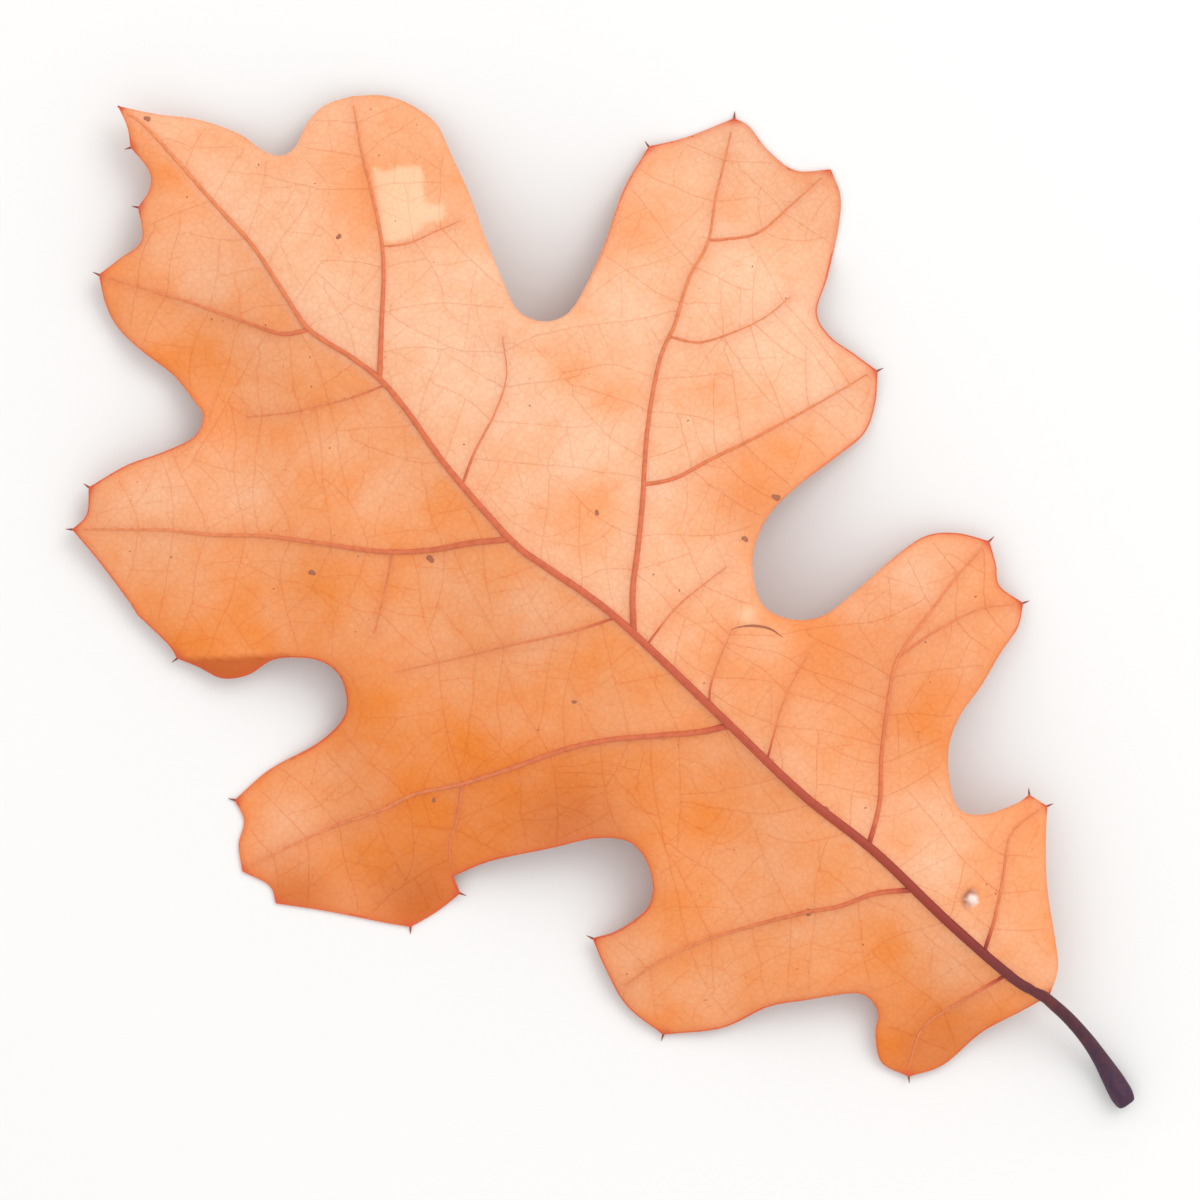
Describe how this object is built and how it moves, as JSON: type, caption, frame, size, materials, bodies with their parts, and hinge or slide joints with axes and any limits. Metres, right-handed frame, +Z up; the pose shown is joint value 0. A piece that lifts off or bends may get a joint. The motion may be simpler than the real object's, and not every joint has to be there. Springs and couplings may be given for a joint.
{
  "type": "autumn oak leaf",
  "caption": "Dry lobed oak leaf in autumn colour, picked with its stalk and lying arched with its paler ribbed side up.",
  "frame": {"origin": "middle of the leaf's box, on the surface it lies on", "axes": "+Y along the midrib from stalk to end tooth, +Z up out of the paler lower side of the leaf, +X to the right of the midrib seen from above"},
  "size_m": [0.1084, 0.1684, 0.0184],
  "materials": {
    "leaf_blade": "dry, matt"
  },
  "bodies": {
    "root": {"oak_leaf": "leaf_blade"}
  },
  "joints": []
}
